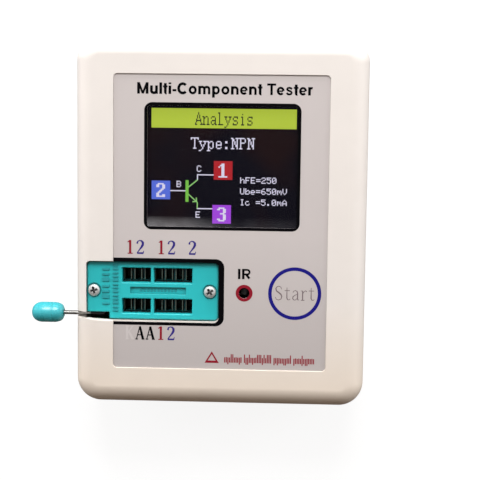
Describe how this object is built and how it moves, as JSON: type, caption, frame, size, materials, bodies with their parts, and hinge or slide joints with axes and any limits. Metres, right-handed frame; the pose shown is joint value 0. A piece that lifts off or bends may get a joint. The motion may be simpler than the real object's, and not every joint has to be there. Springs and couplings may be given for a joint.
{
  "type": "component tester",
  "caption": "Pocket electronic component tester: moulded case with a colour display, a zero-insertion-force test socket with a cam lever, an infrared window and a start button.",
  "frame": {"origin": "middle of the flat rear face, on the table", "axes": "+X to the user's right, +Y towards the display end, +Z out of the front face; the tester lies on its back"},
  "size_m": [0.0824, 0.09, 0.0275],
  "materials": {
    "case_plastic": "cream ABS with a fine moulded texture, satin",
    "front_film": "light warm grey printed polycarbonate film, fine satin texture, clear over the display",
    "socket_plastic": "teal moulded nylon, semi-gloss",
    "slider_plastic": "dark moulded nylon, matte",
    "steel": "nickel-plated steel, satin",
    "contact_metal": "tin-plated spring bronze, satin",
    "display_glass": "black display glass, glossy",
    "white_plastic": "white moulded plastic, satin",
    "black_plastic": "black moulded plastic, satin",
    "foam": "black cushion foam, matte",
    "flex_circuit": "amber flexible circuit, semi-gloss",
    "circuit_board": "green solder mask, semi-gloss",
    "lamp_resin": "clear yellow resin",
    "battery_pouch": "aluminium laminate pouch, satin",
    "red_insulation": "red silicone insulation"
  },
  "bodies": {
    "case": {"front_shell": "case_plastic", "rear_cover": "case_plastic", "front_overlay": "front_film", "lcd_panel": "display_glass", "lcd_frame": "white_plastic", "lcd_flex": "flex_circuit", "lcd_foam_pad": "foam", "zif_base": "socket_plastic", "zif_cover": "socket_plastic", "zif_screw_left": "steel", "zif_screw_right": "steel", "switch_dome": "contact_metal", "switch_housing": "black_plastic", "ir_receiver": "black_plastic", "main_board": "circuit_board", "mcu": "black_plastic", "crystal": "steel", "power_inductor": "foam", "capacitor": "steel", "charge_led": "lamp_resin", "usb_shell": "steel", "usb_tongue": "black_plastic", "battery_cell": "battery_pouch", "battery_foam": "foam", "battery_wire_red": "red_insulation", "battery_wire_black": "black_plastic", "battery_plug": "white_plastic", "battery_connector": "white_plastic", "zif_contact_1": "contact_metal", "zif_contact_2": "contact_metal", "zif_contact_3": "contact_metal", "zif_contact_4": "contact_metal", "zif_contact_5": "contact_metal", "zif_contact_6": "contact_metal", "zif_contact_7": "contact_metal", "zif_contact_8": "contact_metal", "zif_contact_9": "contact_metal", "zif_contact_10": "contact_metal", "zif_contact_11": "contact_metal", "zif_contact_12": "contact_metal", "zif_contact_13": "contact_metal", "zif_contact_14": "contact_metal", "case_screw_1": "steel", "board_screw_1": "steel", "case_screw_2": "steel", "board_screw_2": "steel", "case_screw_3": "steel", "board_screw_3": "steel", "case_screw_4": "steel", "board_screw_4": "steel"},
    "lever": {"zif_lever": "steel", "zif_knob": "socket_plastic"},
    "slider": {"zif_slider": "slider_plastic"},
    "start_button": {"start_key": "front_film", "button_cap": "white_plastic", "switch_plunger": "black_plastic"}
  },
  "joints": [
    {"name": "zif_lever_hinge", "type": "hinge", "parent": "case", "child": "lever", "pos_m": [-0.0285, -0.0231, 0.0232], "axis": [0, 1, 0], "range_deg": [0, 90]},
    {"name": "zif_slider_slide", "type": "slide", "parent": "case", "child": "slider", "axis": [-1, 0, 0], "range_m": [0, 0.001]},
    {"name": "start_press", "type": "slide", "parent": "case", "child": "start_button", "axis": [0, 0, -1], "range_m": [0, 0.0004], "stiffness_N_per_m": 40, "springref_m": -0.002, "deforming": ["switch_dome"]}
  ],
  "couplings": [
    {"joint": "zif_slider_slide", "follows": "zif_lever_hinge", "m_per_rad": 0.0006366}
  ]
}
